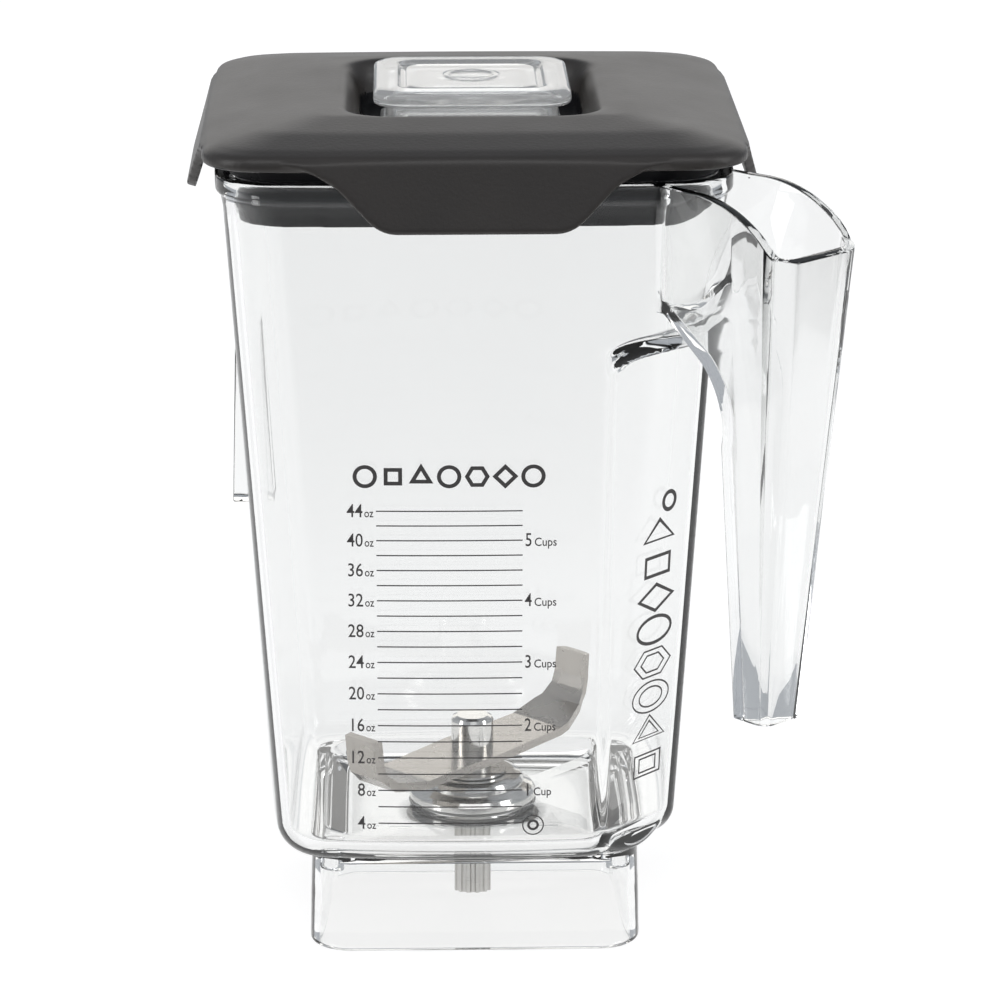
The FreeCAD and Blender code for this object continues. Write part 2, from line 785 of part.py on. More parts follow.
# the bar's side view from its middle to one tip and back: (distance out, height above the flat top)
BLADE_UPPER = [(0, 0), (30, 0), (43, 2.9), (46.8, 6.0), (48.0, 9.4), (48.8, 16.6)]
BLADE_LOWER = [(51.3, 16.4), (50.5, 9.0), (49.0, 4.6), (43.9, 0.3), (30.2, -2.5), (0, -2.5)]
# half of the blade's plan before its ends are bent: (distance out, offset across)
BLADE_PLAN = [(0, -10.9), (18, -8.9), (34, -7.2), (47, -1.2), (53, -0.6),
              (53, 9.2), (49, 11.6), (40, 12.4), (20, 11.2)]


def blade():
    """A flat bar that rises towards its ends and turns up in a short wing at each tip."""
    low = d.blade_bottom
    thick = d.blade_thick
    right = [(s, low + thick + z) for s, z in BLADE_UPPER + BLADE_LOWER]
    left = [(-s, height) for s, height in reversed(right[1:-1])]
    side = padded("blade_side", "XZ_Plane", right + left, d.blade_blank_width)
    plan_points = BLADE_PLAN + [(-s, -e) for s, e in BLADE_PLAN]
    plan = padded("blade_plan", "XY_Plane", plan_points, d.blade_blank_height)
    bar = doc.addObject("Part::MultiCommon", "blade_bar")
    bar.Shapes = [side, plan]
    hole = cylinder("blade_hole", d.shaft_radius, low - BEYOND, thick + 2 * BEYOND)
    result = cut("blade", bar, hole)
    result.Placement = Placement(Vector(0, 0, 0), Rotation(Vector(0, 0, 1), BLADE_ANGLE))
    return result


piece(blade(), "blade")

# ---------------------------------------------------------------- lid


def lid_section(height, half, corner_less=0.0):
    return section(half, float(d.lid_corner) - corner_less, float(d.lid_bow), height)


# the crown's sections from the lip up: (height, distance in from the lip, how much tighter the corners are)
CROWN_STEPS = [
    (float(d.lip_bottom), 0.6, 0.0),
    (float(d.lip_bottom) + 1.0, 0.0, 0.0),
    (float(d.lip_bottom) + 2.8, 0.2, 0.0),
    (float(d.lip_bottom) + 4.1, 1.5, 1.0),
    (float(d.lip_bottom) + 5.3, 5.0, 3.0),
    (float(d.crown_top) - 1.7, 16.0, 8.0),
    (float(d.crown_top), 31.0, 11.0),
]
RIDGE_BOTTOMS = (221.5, 224.8)
RIDGE_WIDTH = 1.0
SHOULDER_INSET = 2.2
FLAP_SET_BACK = 0.3
FLAP_INTO_CROWN = 3.0
# the hollow under the crown: heights above the lip or below the top, distances in from the lip
HOLLOW_RISE = (3.0, 4.2)
HOLLOW_INWARD = (14.0, 27.0)
HOLLOW_CORNER_LESS = (3.0, 9.0)


def recess(grow, low, high):
    """The recess for the cap between two heights, grown outward and rounded in plan."""
    half_y = float(d.recess_front + d.recess_back) / 2
    centre = Vector(0, float(d.recess_back - d.recess_front) / 2, 0)
    half_x = float(d.recess_half_width)
    corner = float(d.recess_corner)
    foot = float(d.recess_foot)
    flare = float(d.recess_flare)

    def wire(height, wider):
        return straight_section(half_x + wider, half_y + wider, corner + wider, height, centre)

    return loft(wire(low, grow - foot), wire(low + float(d.recess_rise), grow), wire(high, grow + flare))


# half of a flap's outline from its root: (distance across from the middle, height above its lower edge)
FLAP_ROOT = 52.0
FLAP_SHOULDER = (43.0, 15.2)
FLAP_WAIST = (37.0, 11.6)
FLAP_HIP = (28.7, 3.1)
FLAP_CORNER = (25.4, 0.9)
FLAP_FOOT = 20.8


def flap(low):
    """A flap in the front flap's place, drawn on a plane that leans outward towards its lower edge."""
    top = float(d.lip_bottom) + FLAP_INTO_CROWN
    outside = float(d.lip_half) - FLAP_SET_BACK
    flare = float(d.flap_flare)
    scale = (top - low) / (top - float(d.flap_bottom))

    def at(across, height):
        return Vector(across, -outside - flare * (top - height) / (top - low), height)

    def on_outline(side, corner):
        across, above = corner
        return at(side * across, low + above * scale)

    roots, feet, waists, hips = [], [], [], []
    for side in (-1, 1):
        roots.append(at(side * FLAP_ROOT, top))
        feet.append(at(side * FLAP_FOOT, low))
        waists.append(on_outline(side, FLAP_WAIST))
        hips.append(on_outline(side, FLAP_HIP))
    edges = lines(roots[0], roots[1])
    edges.append(Part.Arc(roots[1], on_outline(1, FLAP_SHOULDER), waists[1]).toShape())
    edges += lines(waists[1], hips[1])
    edges.append(Part.Arc(hips[1], on_outline(1, FLAP_CORNER), feet[1]).toShape())
    edges += lines(feet[1], feet[0])
    edges.append(Part.Arc(feet[0], on_outline(-1, FLAP_CORNER), hips[0]).toShape())
    edges += lines(hips[0], waists[0])
    edges.append(Part.Arc(waists[0], on_outline(-1, FLAP_SHOULDER), roots[0]).toShape())
    slope = Vector(0, top - low, -flare).normalize()
    return prism(edges, slope * float(d.flap_thick))


def plug_ring(gap, bottom, top):
    """The plug between two heights, a gap inside the vessel's inner wall."""
    inset = float(d.wall) + gap
    return loft(vessel_section(bottom, inset), vessel_section(top, inset))


def lid_hollow():
    """The room under the crown inside the plug."""
    lip = float(d.lip_half)
    low = float(d.lip_bottom)
    inside = float(d.wall) + float(d.plug_gap) + float(d.lid_wall)
    heights = (low + HOLLOW_RISE[1], float(d.crown_top - d.lid_wall))
    upper = [lid_section(height, lip - inward, corner_less)
             for height, inward, corner_less in zip(heights, HOLLOW_INWARD, HOLLOW_CORNER_LESS)]
    return loft(vessel_section(float(d.plug_bottom) - BEYOND, inside),
                vessel_section(low + HOLLOW_RISE[0], inside), *upper)


def lid_shape():
    """A pillow-shaped crown with a plug below, a recess and a square hole for the cap, and four flaps."""
    floor = float(d.recess_floor)
    rim = float(d.rim_top)
    above = float(d.crown_top) + BEYOND
    crown = loft(*[lid_section(height, float(d.lip_half) - inward, corner_less)
                   for height, inward, corner_less in CROWN_STEPS])
    shoulder = loft(vessel_section(rim, SHOULDER_INSET),
                    vessel_section(float(d.lip_bottom) + BEYOND, SHOULDER_INSET))
    plug = plug_ring(float(d.plug_gap), float(d.plug_bottom), rim)
    ridges = [plug_ring(float(d.ridge_gap), bottom, bottom + RIDGE_WIDTH) for bottom in RIDGE_BOTTOMS]
    hole_half = float(d.cap_neck_half + d.cap_fit)
    hole_corner = float(d.cap_corner - d.cap_corner_less)
    hole = loft(straight_section(hole_half, hole_half, hole_corner, float(d.plug_bottom)),
                straight_section(hole_half, hole_half, hole_corner, above))
    bowl = recess(float(d.lid_wall), floor - float(d.lid_wall), above)
    solid = crown.multiFuse([shoulder, plug] + ridges)
    solid = solid.cut(lid_hollow().cut(bowl)).cut(recess(0, floor, above)).cut(hole)
    flaps = []
    for turn in range(4):
        one = flap(float(d.flap_bottom if turn % 2 == 0 else d.side_flap_bottom))
        one.rotate(Vector(0, 0, 0), Vector(0, 0, 1), 90 * turn)
        flaps.append(one)
    return solid.multiFuse(flaps).removeSplitter()


lid = doc.addObject("Part::Feature", "lid_moulding")
lid.Shape = lid_shape()
piece(lid, "lid")

# ---------------------------------------------------------------- centre cap


def block(body, name, kind, half, bottom, height):
    """Add or cut a square block centred on the axis."""
    sketch = outline_sketch(body, f"{name}_outline", "XY_Plane",
                            [(-half, -half), (half, -half), (half, half), (-half, half)])
    sketch.setExpression("AttachmentOffset.Base.z", bottom.text)
    feature = body.newObject(f"PartDesign::{kind}", name)
    feature.Profile = sketch
    bind(feature, Length=height)
    if kind == "Pocket":
        feature.Reversed = True
    doc.recompute()
    return feature


def round_edges(body, name, base, radius, chosen):
    """Fillet the edges of a feature for which chosen(edge) is true."""
    names = [f"Edge{index}" for index, edge in enumerate(base.Shape.Edges, start=1) if chosen(edge)]
    fillet = body.newObject("PartDesign::Fillet", name)
    fillet.Base = (base, names)
    bind(fillet, Radius=radius)
    body.Tip = fillet
    doc.recompute()
    return fillet


def upright(edge):
    return edge.BoundBox.ZLength > 1.0 and edge.BoundBox.XLength < 0.01 and edge.BoundBox.YLength < 0.01


def center_cap():
    """A square cup turned upside down: thick top plate, neck, and a bead that rests on the recess floor."""
    body = doc.addObject("PartDesign::Body", "center_cap_body")
    plate_bottom = d.cap_top - d.cap_plate
    neck_height = plate_bottom - d.cap_neck_bottom
    block(body, "cap_neck", "Pad", d.cap_neck_half, d.cap_neck_bottom, neck_height)
    block(body, "cap_bead", "Pad", d.cap_bead_half, d.recess_floor, d.cap_bead_height)
    plate = block(body, "cap_plate", "Pad", d.cap_half, plate_bottom, d.cap_plate)
    rounded = round_edges(body, "cap_corners", plate, d.cap_corner - d.cap_corner_less, upright)
    top = float(d.cap_top)
    rounded = round_edges(body, "cap_rim", rounded, d.cap_edge_round,
                          lambda edge: edge.BoundBox.ZMin > top - 0.01)
    pocket = block(body, "cap_hollow", "Pocket", d.cap_neck_half - d.cap_wall, d.cap_neck_bottom,
                   neck_height)
    inner = d.cap_neck_half - d.cap_wall
    rounded = round_edges(body, "cap_hollow_corners", pocket, d.cap_inner_corner,
                          lambda edge: upright(edge) and abs(abs(edge.BoundBox.XMax) - float(inner)) < 0.01)
    body.Tip = rounded
    return body


piece(center_cap(), "center_cap")

# ---------------------------------------------------------------- checks and files


def main():
    doc.recompute()
    for obj in doc.Objects:
        if "Invalid" in obj.State or "Error" in obj.State:
            raise RuntimeError(f"{obj.Name} failed: {obj.State}")
    for obj in pieces:
        if obj.Shape.isNull() or not obj.Shape.isValid():
            raise RuntimeError(f"{obj.Label} has no valid shape")
    os.makedirs("parts", exist_ok=True)
    for obj in pieces:
        obj.Shape.exportStep(f"parts/{obj.Label}.step")
        box = obj.Shape.BoundBox
        print(f"{obj.Label}: {len(obj.Shape.Solids)} solid(s), {obj.Shape.Volume / 1000:.2f} cm3, "
              f"z {box.ZMin:.1f} to {box.ZMax:.1f}")


main()
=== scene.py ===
"""Studio view of a clear, straight-handled blender jar with its soft lid and centre cap."""

import math

import bmesh
import bpy
import numpy as np
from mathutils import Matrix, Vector


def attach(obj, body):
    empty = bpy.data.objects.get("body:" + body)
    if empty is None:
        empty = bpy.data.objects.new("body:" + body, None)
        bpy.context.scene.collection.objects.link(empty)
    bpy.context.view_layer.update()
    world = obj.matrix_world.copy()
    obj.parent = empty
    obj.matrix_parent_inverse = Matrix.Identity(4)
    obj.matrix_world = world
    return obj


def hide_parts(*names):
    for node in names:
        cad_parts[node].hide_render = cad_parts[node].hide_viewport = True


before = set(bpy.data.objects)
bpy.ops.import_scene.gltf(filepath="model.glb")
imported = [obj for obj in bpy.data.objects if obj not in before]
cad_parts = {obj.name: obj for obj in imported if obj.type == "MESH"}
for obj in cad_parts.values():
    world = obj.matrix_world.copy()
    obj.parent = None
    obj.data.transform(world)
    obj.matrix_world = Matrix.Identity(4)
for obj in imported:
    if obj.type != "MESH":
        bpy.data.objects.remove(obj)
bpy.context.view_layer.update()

MM = 0.001
scene = bpy.context.scene

# ---------------------------------------------------------------- sizes, in millimetres as in the CAD model

# the vessel widens upwards; its section is a square with bowed sides and round corners
UNDER = 29.6
RIM = 229.0
WALL = 3.5
BOTTOM_HALF, TOP_HALF = 58.3, 70.4
BOTTOM_CORNER, TOP_CORNER = 15.0, 20.0
BOTTOM_BOW, TOP_BOW = 2.5, 1.2
LEAST_CORNER = 1.5

# the fifth side is a plane across the corner under the handle, with a ledge in an arch over it
PANEL_ANGLE = math.radians(-42)
PANEL_DISTANCE, PANEL_SLOPE, PANEL_CENTRE = 64.6, 0.053, -3.0
PANEL_HALF, PANEL_SPRING, PANEL_RISE = 26.0, 160.0, 21.0
PANEL_EASE = 0.8
ARCH_POWER, ARCH_ROOT = 2.8, 2.6
LEDGE_HEIGHT = 3.5
AWAY = np.array([math.cos(PANEL_ANGLE), math.sin(PANEL_ANGLE)])
ALONG = np.array([-math.sin(PANEL_ANGLE), math.cos(PANEL_ANGLE)])

# the vessel's floor, and the skirt it stands on
FLOOR = 29.8
FLOOR_EDGE = FLOOR + WALL
FLOOR_UNDER = 26.3
FLOOR_FILLET = 6
RAMP_HALF, RAMP_WIDTH = 36.0, 7.0
RAMP_CORNER, RAMP_CORNER_MORE = 8, 4
RAMP_PANEL_INSET = 5.0
RAMP_SHARES = (0.0, 0.06, 0.15, 0.85, 0.94, 1.0)
SKIRT_HALF_FOOT, SKIRT_HALF_TOP = 47.5, 46.8
SKIRT_CORNER = 12.0
SKIRT_WALL = 3.0
SKIRT_BOW = 0.05
HEEL_FILLET_LEAST, HEEL_FILLET_MOST = 1.5, 8.5
HEEL_CLEARANCE = 1.2
HEEL_HEIGHT = 40.0

# the rim's bead, outside the vessel's wall
BEAD_HALF, BEAD_CORNER = 71.8, 21.5

# radius and height of the rings round the hub's seat, from its bore over its upper edge
SEAT_ABOVE = ((11.0, 24.3), (11.0, 29.9), (11.4, 30.3), (17.8, 30.3), (18.3, 30.1), (18.6, 29.8), (22, 29.8))
SEAT_BELOW = ((16.3, 26.3), (15.6, 25.9), (15.5, 24.6), (15.0, 24.05), (11.4, 24.0))

# height and inset of the rings that round the rim, the skirt's top and the skirt's foot
RIM_INSIDE = ((228.4, 3.3), (228.85, 2.8), (229, 2.2))
BEAD = ((229, 0.9), (228.8, 0.35), (228.45, 0.08), (228, 0), (226, 0), (225.2, 0), (224.7, 0.1), (224.1, 0.45),
        (223.7, 1.0), (223.3, 1.35), (222.6, 1.5))
SKIRT_TOP = ((29.6, -0.8), (29.3, -0.25), (28.6, 0.0))
SKIRT_FOOT = ((14, 0), (1.2, 0), (0.5, 0.2), (0.12, 0.6), (0, 1.1), (0, 2.0), (0.15, 2.5), (0.6, 2.85),
              (1.3, SKIRT_WALL), (14, SKIRT_WALL), (25, SKIRT_WALL), (25.9, 3.2), (26.3, 3.9))

# the handle: a tapering trough along the diagonal, open on top
DIAGONAL = math.sqrt(0.5)
HANDLE_BOTTOM = 81.5
HANDLE_ROOT = 60.0
HANDLE_TUBE = 3.0
HANDLE_HALF = (8.1, 17.8)
HANDLE_OUTER = (119.4, 131.6)
HANDLE_CORNER = (4.5, 8.0)
HANDLE_NARROWING = 0.06
HANDLE_INNER = 106.8
HANDLE_SHOULDER = 213.6
HANDLE_END = 140
HANDLE_HEIGHT_AT_ROOT = 193
HANDLE_SIDE_HALF = 20
BELOW_RIM = 0.06
BEYOND = 5
ARC_STEPS = 12

# the small parts of the jar
LUG_HALF = 7
LUG_OUTLINE = ((-62, 122.6), (-68.5, 122.6), (-68.7, 123.4), (-67.3, 175), (-66, 175))
PAD_PLACE = 40.3
PAD_RINGS = ((2.2, 23.3), (2.8, 23.5), (3.0, 24.0), (3.0, 27.0))
PAD_POINTS = 24

# the lid: how fine its mesh is, the heights over which its edges are eased, and where its plug is, which is
# painted darker as shade
LID_VOXEL = 0.7
EASE_EVERYWHERE, EASE_ABOVE = 3, 30
EASE_FROM, EASE_FULLY = 238.0, 240.5
PLUG_REACH, PLUG_TOP = 70.5, 234.5

# radius and height of the cap's round rings, from the middle of its top out
CAP_ROUND = ((1, 245.5), (5.6, 245.5), (5.9, 245.6), (6.2, 245.95), (6.6, 246.0), (7.2, 246.0), (7.6, 245.95),
             (7.9, 245.6), (8.2, 245.5), (10.5, 245.5))
# half width, corner and height of its square rings: border, edge, neck with its bead, and hollow
CAP_BORDER = ((16.5, 4.5, 245.5), (17.5, 5, 245.5), (18.0, 5, 245.35), (18.4, 5.2, 245.0), (18.8, 5.4, 244.8),
              (19.6, 5.6, 244.8), (20.0, 5.7, 245.0), (20.4, 5.8, 245.6), (20.9, 6, 245.95), (21.5, 6, 246))
CAP_EDGE = ((25.2, 7.4, 246), (26.2, 7.6, 245.85), (27.0, 7.8, 245.4), (27.45, 8, 244.7), (27.6, 8, 243.9),
            (27.6, 8, 242.8), (27.4, 8, 242.0), (26.9, 7.8, 241.55), (26.2, 7.6, 241.4), (25, 7, 241.4))
CAP_NECK = ((24.3, 6.4, 241.2), (23.95, 6, 240.6), (23.9, 6, 234), (23.9, 6, 232.8), (24.6, 6.4, 232.4),
            (25.3, 6.8, 232.1), (25.6, 7, 231.7), (25.3, 6.8, 231.3), (24.6, 6.4, 231.0), (23.9, 6, 230.6),
            (23.9, 6, 227.6), (23.6, 5.8, 226.9), (22.9, 5.2, 226.5))
CAP_HOLLOW = ((22.3, 4.6, 226.5), (21.6, 4, 226.8), (21.3, 3.6, 227.5), (21.3, 3.6, 240), (20.9, 3.4, 241.0),
              (20, 3.2, 241.4))
CAP_UNDER_RADIUS, CAP_UNDER = 6, 241.4

# the printed marks
PRINT_DEPTH = (0.02, 0.07)
LETTER_STEPS = 3
LETTER_WEIGHT = 0.03
FIRST_LINE = 43.3
LINE_PITCH, PITCH_LOST = 5.08, 0.0204
LINE_COUNT = 21
LINE_ENDS = (-27.5, 12.8)
LINE_POINTS = 9
LINE_STROKE = 0.36
FIGURES, UNITS = 5.5, 3.5
LETTERS_BELOW_LINE = 1.75
OUNCES_LEFT, OUNCES_RIGHT = -31.1, -30.8
CUPS_LEFT, CUPS_RIGHT = 13.4, 16.0

# corners and turn of the plain figures
RING, SQUARE, TRIANGLE, HEXAGON, DIAMOND = (28, 0), (4, 45), (3, 90), (6, 0), (4, 0)
FINE_RING = (32, 0)
ROW_LEFT, ROW_PITCH, ROW_HEIGHT = -30.5, 7.7, 146.8
ROW_RADIUS, ROW_STROKE = 2.8, 1.1
SPOT = (16.0, 42.6)
COLUMN_MIDDLE = 2.6
OUTLINED_FIRST, OUTLINED_PITCH, OUTLINED_STRETCH = 55.5, 10.2, 1.75
OUTLINED_RADII, OUTLINED_STROKE = (4.6, 2.9), 0.5
BOLD_FIRST, BOLD_PITCH, BOLD_STRETCH = 96.0, 9.6, 1.9
BOLD_RADIUS, BOLD_STROKE = 3.9, 1.0
LAST_RING = (6.4, 133.5)

# ---------------------------------------------------------------- meshes

# points along one bowed side and round one corner of a ring
SIDE_STEPS = 44
CORNER_STEPS = 28
QUARTER = SIDE_STEPS + CORNER_STEPS
COUNT = 4 * QUARTER


def new_object(name, verts, faces):
    """A mesh object from millimetre coordinates."""
    mesh = bpy.data.meshes.new(name)
    mesh.from_pydata([tuple(float(c) * MM for c in v) for v in verts], [], faces)
    mesh.validate()
    obj = bpy.data.objects.new(name, mesh)
    scene.collection.objects.link(obj)
    work = bmesh.new()
    work.from_mesh(mesh)
    bmesh.ops.recalc_face_normals(work, faces=work.faces)
    work.to_mesh(mesh)
    work.free()
    return obj


def apply_modifiers(obj):
    bpy.context.view_layer.update()
    shaped = obj.evaluated_get(bpy.context.evaluated_depsgraph_get())
    made = bpy.data.meshes.new_from_object(shaped)
    obj.modifiers.clear()
    old = obj.data
    obj.data = made
    bpy.data.meshes.remove(old)
    return obj


def smooth(obj, angle):
    """Shade smoothly, apart from edges sharper than the angle."""
    obj.data.polygons.foreach_set("use_smooth", [True] * len(obj.data.polygons))
    obj.data.set_sharp_from_angle(angle=math.radians(angle))
    return obj


def boolean(obj, tool, operation):
    mod = obj.modifiers.new("boolean", "BOOLEAN")
    mod.operation = operation
    mod.solver = "EXACT"
    mod.object = tool
    apply_modifiers(obj)
    bpy.data.objects.remove(tool)
    return obj


def bevel(obj, width, angle):
    """Round the edges that are sharper than the angle."""
    mod = obj.modifiers.new("bevel", "BEVEL")
    mod.width = width * MM
    mod.use_clamp_overlap = False
    mod.segments = 3
    mod.limit_method = "ANGLE"
    mod.angle_limit = math.radians(angle)
    return apply_modifiers(obj)


def joined(name, objects):
    """One object from several whose meshes don't touch."""
    work = bmesh.new()
    for obj in objects:
        work.from_mesh(obj.data)
        bpy.data.objects.remove(obj)
    mesh = bpy.data.meshes.new(name)
    work.to_mesh(mesh)
    work.free()
    obj = bpy.data.objects.new(name, mesh)
    scene.collection.objects.link(obj)
    return obj


def finish(obj, body, slot, material, *nodes):
    """Give a piece its material and the body it rides on, and hide the nodes it stands for; the slot is not
    used.
    """
    obj.data.materials.clear()
    obj.data.materials.append(material)
    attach(obj, body)
    if nodes:
        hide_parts(*nodes)
    return obj


def between(first, last, share):
    return first + share * (last - first)


def spread(first, last, step):
    """Even values from first to last, about a step apart."""
    return list(np.linspace(first, last, max(2, round(abs(last - first) / step) + 1)))


WALL_HEIGHTS = spread(44, 156, 7) + spread(157, 187, 0.6) + spread(190, 220, 7)


def stack(name, outlines):
    """A solid over outlines of 3-D points that have the same number of points."""
    count = len(outlines[0])
    last = count * (len(outlines) - 1)
    faces = [tuple(range(count)), tuple(range(last + count - 1, last - 1, -1))]
    for r in range(len(outlines) - 1):
        a, b = r * count, (r + 1) * count
        faces += [(a + i, a + (i + 1) % count, b + (i + 1) % count, b + i) for i in range(count)]
    return new_object(name, [point for outline in outlines for point in outline], faces)


def prism(name, outline, direction):
    """A solid between an outline of 3-D points and its copy moved in a direction."""
    base = [np.asarray(point, float) for point in outline]
    return stack(name, [base, [point + np.asarray(direction, float) for point in base]])


def ring_solid(name, rings, closed):
    """A mesh over a stack of rings, closed on itself or with its two ends filled."""
    verts = list(np.concatenate(rings))
    faces = []
    for r in range(len(rings) if closed else len(rings) - 1):
        a = r * COUNT
        b = (r + 1) % len(rings) * COUNT
        faces += [(a + i, a + (i + 1) % COUNT, b + (i + 1) % COUNT, b + i) for i in range(COUNT)]
    if not closed:
        for ring in (0, len(rings) - 1):
            hub = len(verts)
            verts.append(rings[ring].mean(0))
            a = ring * COUNT
            faces += [(hub, a + i, a + (i + 1) % COUNT) for i in range(COUNT)]
    return new_object(name, verts, faces)


def arc_through(a, b, c, steps):
    """Points along the circle through three plane points, without the last."""
    (ax, ay), (bx, by), (cx, cy) = a, b, c
    aa, bb, cc = ax * ax + ay * ay, bx * bx + by * by, cx * cx + cy * cy
    span = 2 * (ax * (by - cy) + bx * (cy - ay) + cx * (ay - by))
    ux = (aa * (by - cy) + bb * (cy - ay) + cc * (ay - by)) / span
    uy = (aa * (cx - bx) + bb * (ax - cx) + cc * (bx - ax)) / span
    start = math.atan2(ay - uy, ax - ux)
    middle = (math.atan2(by - uy, bx - ux) - start) % (2 * math.pi)
    end = (math.atan2(cy - uy, cx - ux) - start) % (2 * math.pi)
    if middle > end:
        end -= 2 * math.pi
    radius = math.hypot(ax - ux, ay - uy)
    turns = [start + end * i / steps for i in range(steps)]
    return [(ux + radius * math.cos(turn), uy + radius * math.sin(turn)) for turn in turns]


# ---------------------------------------------------------------- rings


def section(half, corner, bow):
    """Points round a square with bowed sides and round corners tangent to them."""
    half, corner, bow = (np.broadcast_to(np.asarray(v, float), COUNT) for v in (half, corner, bow))
    chord = half - corner
    radius = (chord ** 2 + bow ** 2) / (2 * bow)
    centre = radius - half
    reach = radius - corner
    diagonal = (np.sqrt(2 * reach ** 2 - centre ** 2) - centre) / 2
    end = np.arctan2(diagonal, diagonal + centre)
    step = np.arange(COUNT) % QUARTER
    side = step < SIDE_STEPS
    along = end * (2 * step / SIDE_STEPS - 1)
    share = (step - SIDE_STEPS) / CORNER_STEPS
    turn = (-math.pi / 2 + end) * (1 - share) - end * share
    x = np.where(side, radius * np.sin(along), diagonal + corner * np.cos(turn))
    y = np.where(side, centre - radius * np.cos(along), -diagonal + corner * np.sin(turn))
    quarter = np.arange(COUNT) // QUARTER * (math.pi / 2)
    return np.stack([x * np.cos(quarter) - y * np.sin(quarter), x * np.sin(quarter) + y * np.cos(quarter)], 1)


def circle(radius):
    """Points round a circle, in the same directions as a section's, so that the two join without a twist."""
    points = section(40, 12, 0.5)
    return points / np.linalg.norm(points, axis=1)[:, None] * radius


def squarish(half, corner):
    """Points halfway between a circle and a section."""
    return circle(half) * 0.5 + section(half, corner, 0.3) * 0.5


def lifted(points, height):
    """Plane points as 3-D points at a height, or each at its own."""
    height = np.broadcast_to(np.asarray(height, float), COUNT)
    return np.column_stack([points, height])


def eased(share):
    """A share from 0 to 1, with a slow start and end."""
    return share * share * (3 - 2 * share)


def panel_cut(points, height, inset):
    """Draw the points in to the fifth side's plane, below its arch."""
    height = np.broadcast_to(np.asarray(height, float), COUNT)
    distance = PANEL_DISTANCE + PANEL_SLOPE * (height - UNDER) - inset
    beyond = points @ AWAY - distance
    depth = (beyond + np.sqrt(beyond ** 2 + PANEL_EASE)) / 2
    sideways = np.abs(points @ ALONG - PANEL_CENTRE) / (PANEL_HALF + inset)
    rise = np.clip(1 - sideways ** ARCH_POWER, 0, 1) ** (1 / ARCH_ROOT)
    arch = PANEL_SPRING + (PANEL_RISE + inset) * rise
    share = np.clip((arch - height) / LEDGE_HEIGHT + 0.5, 0, 1)
    return points - AWAY * (depth * eased(share))[:, None]


def vessel_ring(height, inset):
    """The vessel's outline at a height, drawn in by an inset."""
    share = (np.asarray(height, float) - UNDER) / (RIM - UNDER)
    points = section(between(BOTTOM_HALF, TOP_HALF, share) - inset,
                     np.maximum(between(BOTTOM_CORNER, TOP_CORNER, share) - inset, LEAST_CORNER),
                     between(BOTTOM_BOW, TOP_BOW, share))
    return lifted(panel_cut(points, height, inset), height)


def skirt_ring(height, inset, corner_less=None):
    """The skirt's outline at a height, drawn in by an inset; its corners shrink by as much, or as told."""
    half = between(SKIRT_HALF_FOOT, SKIRT_HALF_TOP, height / UNDER)
    corner = SKIRT_CORNER - (inset if corner_less is None else corner_less)
    return lifted(section(half - inset, corner, SKIRT_BOW), height)


def ramp_ring(share):
    """The slope round the vessel's floor, up to the foot of its walls."""
    points = section(RAMP_HALF + RAMP_WIDTH * share, RAMP_CORNER + RAMP_CORNER_MORE * share, SKIRT_BOW)
    return lifted(panel_cut(points, FLOOR, RAMP_PANEL_INSET + WALL), FLOOR + WALL * eased(share))


def vessel_rings():
    """The vessel and skirt: up the inside, over the rim, down the outside, and back up to the hub's seat."""
    rings = [lifted(circle(radius), z) for radius, z in SEAT_ABOVE]
    rings.append(lifted(squarish(30, 10), FLOOR))
    rings += [ramp_ring(share) for share in RAMP_SHARES]
    for turn in np.radians(np.linspace(0, 90, 10)):
        rings.append(vessel_ring(FLOOR_EDGE + FLOOR_FILLET * (1 - math.cos(turn)),
                                 WALL + FLOOR_FILLET * (1 - math.sin(turn))))
    rings += [vessel_ring(z, WALL) for z in WALL_HEIGHTS + [226, 227.6]]
    rings += [vessel_ring(z, inset) for z, inset in RIM_INSIDE]
    rings += [lifted(section(BEAD_HALF - less, BEAD_CORNER - less, TOP_BOW), z) for z, less in BEAD]
    rings += [vessel_ring(z, 0) for z in reversed(WALL_HEIGHTS)]
    wall = vessel_ring(HEEL_HEIGHT, 0)[:, :2]
    room = np.linalg.norm(wall, axis=1) - np.linalg.norm(skirt_ring(UNDER, 0)[:, :2], axis=1)
    fillet = np.clip(room - HEEL_CLEARANCE, HEEL_FILLET_LEAST, HEEL_FILLET_MOST)
    for turn in np.radians(np.linspace(0, 90, 12)):
        rings.append(vessel_ring(UNDER + fillet * (1 - math.sin(turn)), fillet * (1 - math.cos(turn))))
    rings += [skirt_ring(z, inset, 0) for z, inset in SKIRT_TOP]
    rings += [skirt_ring(z, inset) for z, inset in SKIRT_FOOT]
    rings.append(lifted(squarish(24, 8), FLOOR_UNDER))
    rings += [lifted(circle(radius), z) for radius, z in SEAT_BELOW]
    return rings


def cap_rings():
    """The centre cap from the middle of its top, over its edge and neck, to the underside of its plate."""
    rings = [lifted(circle(radius), z) for radius, z in CAP_ROUND]
    rings += [lifted(section(half, corner, SKIRT_BOW), z)
              for half, corner, z in CAP_BORDER + CAP_EDGE + CAP_NECK + CAP_HOLLOW]
    rings.append(lifted(circle(CAP_UNDER_RADIUS), CAP_UNDER))
    return rings


# ---------------------------------------------------------------- jar


def out_across(out, across, height):
    """A point in the handle's frame: out along the diagonal, across it, and up."""
    return ((out + across) * DIAGONAL, (across - out) * DIAGONAL, height)


